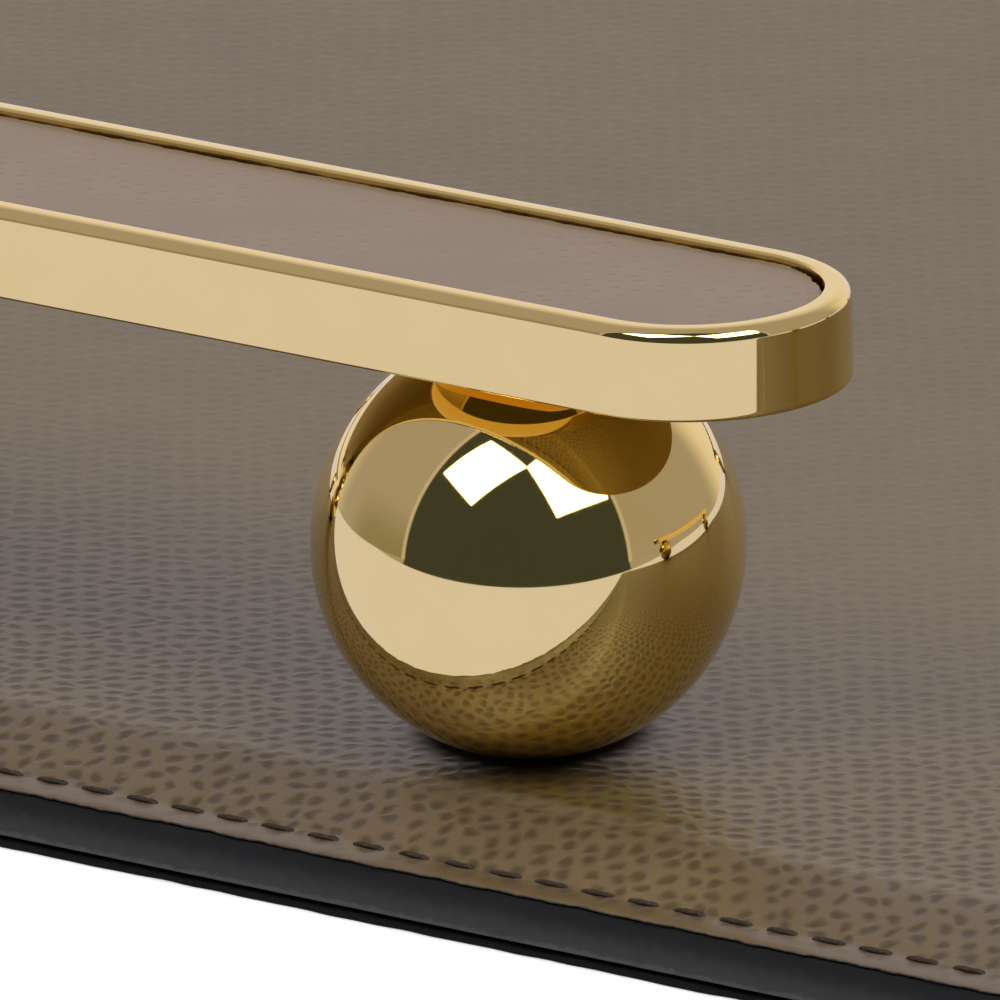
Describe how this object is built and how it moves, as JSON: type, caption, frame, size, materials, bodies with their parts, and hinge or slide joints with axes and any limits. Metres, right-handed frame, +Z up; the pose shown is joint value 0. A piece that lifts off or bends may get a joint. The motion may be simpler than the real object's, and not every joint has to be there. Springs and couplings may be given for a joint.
{
  "type": "leather tray",
  "caption": "Flat rectangular leather-covered tray with a stitched bevelled border and metal bar handles inlaid with leather, each raised on balls.",
  "frame": {"origin": "middle of the underside, on the surface the tray stands on", "axes": "+X along the long side, +Y from the front handle towards the back handle, +Z up"},
  "size_m": [0.65, 0.4, 0.0424],
  "materials": {
    "top_leather": "taupe pebble-grained leather, satin",
    "inlay_leather": "lighter taupe fine-grained leather, satin",
    "edge_leather": "black fine-grained leather, semi-gloss",
    "lining": "black matt lining",
    "core_wood": "plain board, covered",
    "plated_metal": "mirror-polished pale gold plate",
    "zinc_steel": "zinc plated"
  },
  "bodies": {
    "root": {"base_lining": "lining", "edge_wrap": "edge_leather", "core_board": "core_wood", "top_leather": "top_leather", "handle_frame_front": "plated_metal", "handle_inlay_front": "inlay_leather", "ball_front_a": "plated_metal", "ball_front_b": "plated_metal", "handle_frame_right": "plated_metal", "handle_inlay_right": "inlay_leather", "ball_right_a": "plated_metal", "ball_right_b": "plated_metal", "handle_frame_back": "plated_metal", "handle_inlay_back": "inlay_leather", "ball_back_a": "plated_metal", "ball_back_b": "plated_metal", "handle_frame_left": "plated_metal", "handle_inlay_left": "inlay_leather", "ball_left_a": "plated_metal", "ball_left_b": "plated_metal", "fixing_screw_front_a": "zinc_steel", "washer_front_a": "zinc_steel", "fixing_screw_front_b": "zinc_steel", "washer_front_b": "zinc_steel", "fixing_screw_right_a": "zinc_steel", "washer_right_a": "zinc_steel", "fixing_screw_right_b": "zinc_steel", "washer_right_b": "zinc_steel", "fixing_screw_back_a": "zinc_steel", "washer_back_a": "zinc_steel", "fixing_screw_back_b": "zinc_steel", "washer_back_b": "zinc_steel", "fixing_screw_left_a": "zinc_steel", "washer_left_a": "zinc_steel", "fixing_screw_left_b": "zinc_steel", "washer_left_b": "zinc_steel"}
  },
  "joints": []
}
